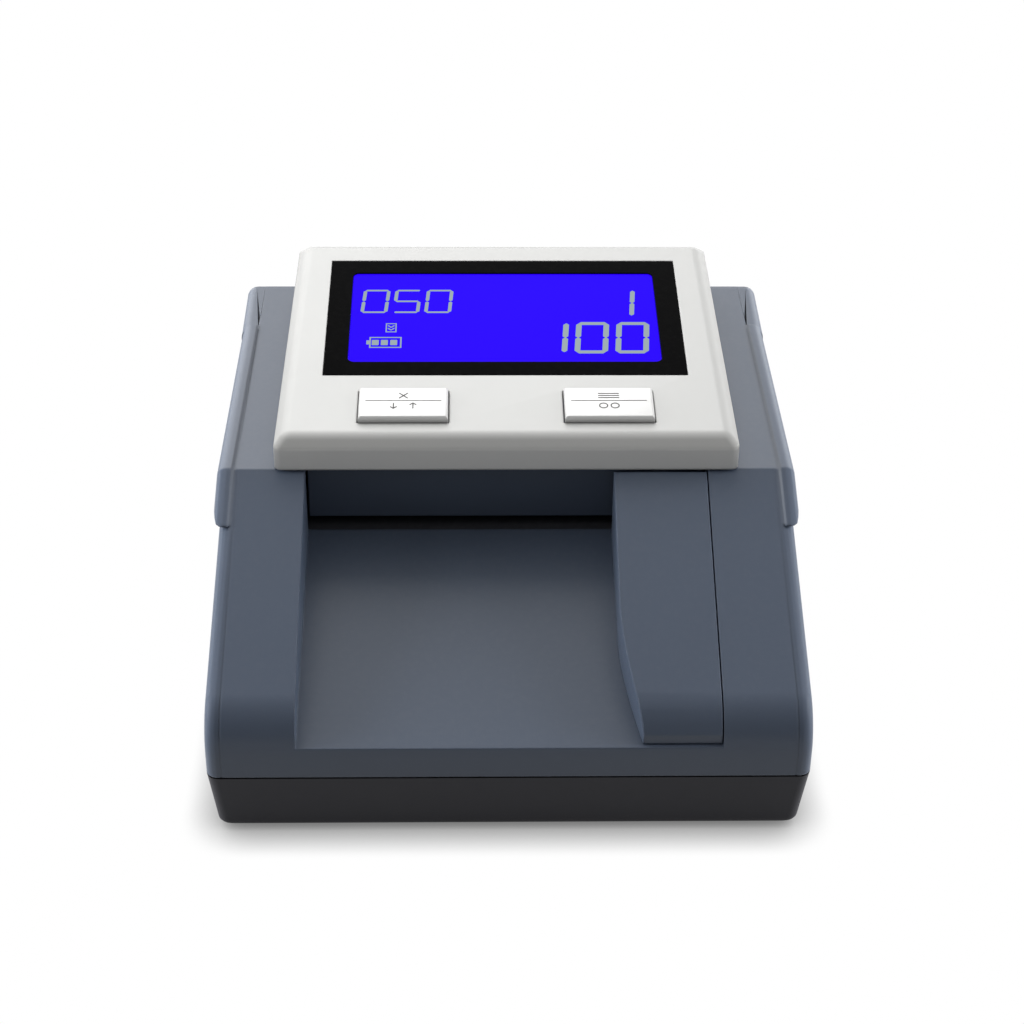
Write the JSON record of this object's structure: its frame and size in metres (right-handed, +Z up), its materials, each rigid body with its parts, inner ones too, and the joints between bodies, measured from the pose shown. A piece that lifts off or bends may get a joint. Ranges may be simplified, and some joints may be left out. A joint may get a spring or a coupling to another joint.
{
  "type": "counterfeit banknote detector",
  "caption": "Counter-top banknote checker: sloping housing with a note ramp and slot, silver console with blue display and keys, and a roller transport inside.",
  "frame": {"origin": "centre of the footprint, on the surface that the feet stand on", "axes": "+Z up, -Y towards the user at the note ramp, +X to the user's right"},
  "size_m": [0.1306, 0.142, 0.075],
  "materials": {
    "housing_plastic": "fine satin texture, dark blue-grey",
    "base_plastic": "fine satin texture, charcoal",
    "silver_plastic": "satin silver-white paint",
    "key_plastic": "satin silver-white paint",
    "window_gloss": "black gloss",
    "lcd_blue": "blue backlit display",
    "backlight_white": "white diffuser",
    "board_green": "solder resist",
    "chip_black": "moulded black",
    "switch_black": "satin black",
    "rubber_black": "matt rubber",
    "steel": "plain steel",
    "frame_steel": "zinc plated sheet",
    "bronze": "sintered bronze",
    "guide_plastic": "smooth black",
    "sensor_glass": "clear",
    "pulley_plastic": "natural acetal",
    "battery_wrap": "shrink wrap",
    "lamp_board": "solder resist"
  },
  "bodies": {
    "chassis": {"base_pan": "base_plastic", "main_housing": "housing_plastic", "rear_cover": "housing_plastic", "rear_cover_screws": "steel", "rubber_feet": "rubber_black", "case_screws": "steel", "battery_cover": "base_plastic", "battery_cover_screw": "steel", "battery_pack": "battery_wrap", "main_board": "board_green", "board_chips": "chip_black", "board_screws": "steel", "buzzer": "chip_black", "left_frame": "frame_steel", "right_frame": "frame_steel", "frame_screws": "steel", "shaft_bushes": "bronze", "lower_guide": "guide_plastic", "lower_sensor_bar": "guide_plastic", "lower_sensor_glass": "sensor_glass", "magnetic_head": "steel", "drive_motor": "steel", "motor_screws": "steel", "drive_belt": "rubber_black", "encoder_sensor": "chip_black", "dc_jack": "switch_black", "switch_frame": "switch_black", "hinge_brackets": "housing_plastic", "hinge_pins": "steel"},
    "lid": {"console_bezel": "silver_plastic", "display_window": "window_gloss", "lcd_panel": "lcd_blue", "backlight_plate": "backlight_white", "display_board": "board_green", "key_switches": "chip_black", "upper_chassis": "housing_plastic", "upper_sensor_bar": "guide_plastic", "upper_sensor_glass": "sensor_glass", "uv_lamp_board": "lamp_board", "pinch_springs": "steel", "lid_screws": "steel"},
    "front_drive": {"front_shaft": "steel", "front_rollers": "rubber_black", "front_pulley": "pulley_plastic"},
    "rear_drive": {"rear_shaft": "steel", "rear_rollers": "rubber_black", "rear_pulley": "pulley_plastic", "encoder_disc": "chip_black"},
    "motor_rotor": {"motor_shaft": "steel", "motor_pulley": "pulley_plastic"},
    "front_pinch": {"front_pinch_axle": "steel", "front_pinch_rollers": "rubber_black"},
    "rear_pinch": {"rear_pinch_axle": "steel", "rear_pinch_rollers": "rubber_black"},
    "left_key": {"left_key": "key_plastic"},
    "right_key": {"right_key": "key_plastic"},
    "power_rocker": {"power_rocker": "switch_black"},
    "width_guide": {"width_guide": "housing_plastic"}
  },
  "joints": [
    {"name": "lid_hinge", "type": "hinge", "parent": "chassis", "child": "lid", "pos_m": [0, 0.065, 0.06558], "axis": [-1, 0, 0], "range_deg": [0, 60]},
    {"name": "front_drive_spin", "type": "hinge", "parent": "chassis", "child": "front_drive", "pos_m": [0, 0.001, 0.03422], "axis": [1, 0, 0], "continuous": true},
    {"name": "rear_drive_spin", "type": "hinge", "parent": "chassis", "child": "rear_drive", "pos_m": [0, 0.051, 0.03422], "axis": [1, 0, 0], "continuous": true},
    {"name": "motor_spin", "type": "hinge", "parent": "chassis", "child": "motor_rotor", "pos_m": [0, 0.026, 0.02192], "axis": [1, 0, 0], "continuous": true},
    {"name": "front_pinch_spin", "type": "hinge", "parent": "lid", "child": "front_pinch", "pos_m": [0, 0.001, 0.04752], "axis": [1, 0, 0], "continuous": true},
    {"name": "rear_pinch_spin", "type": "hinge", "parent": "lid", "child": "rear_pinch", "pos_m": [0, 0.051, 0.04752], "axis": [1, 0, 0], "continuous": true},
    {"name": "left_key_press", "type": "slide", "parent": "lid", "child": "left_key", "axis": [0, 0.1115, -0.9938], "range_m": [0, 0.0008], "stiffness_N_per_m": 400},
    {"name": "right_key_press", "type": "slide", "parent": "lid", "child": "right_key", "axis": [0, 0.1115, -0.9938], "range_m": [0, 0.0008], "stiffness_N_per_m": 400},
    {"name": "rocker_tip", "type": "hinge", "parent": "chassis", "child": "power_rocker", "pos_m": [0.036, 0.066, 0.0275], "axis": [-1, 0, 0], "range_deg": [0, 16]},
    {"name": "width_guide_slide", "type": "slide", "parent": "chassis", "child": "width_guide", "axis": [0, -0.9613, -0.2756], "range_m": [0, 0.07]}
  ],
  "couplings": [
    {"joint": "rear_drive_spin", "follows": "front_drive_spin", "ratio": 1},
    {"joint": "motor_spin", "follows": "front_drive_spin", "ratio": 1.75},
    {"joint": "front_pinch_spin", "follows": "front_drive_spin", "ratio": -1.6},
    {"joint": "rear_pinch_spin", "follows": "front_drive_spin", "ratio": -1.6}
  ]
}
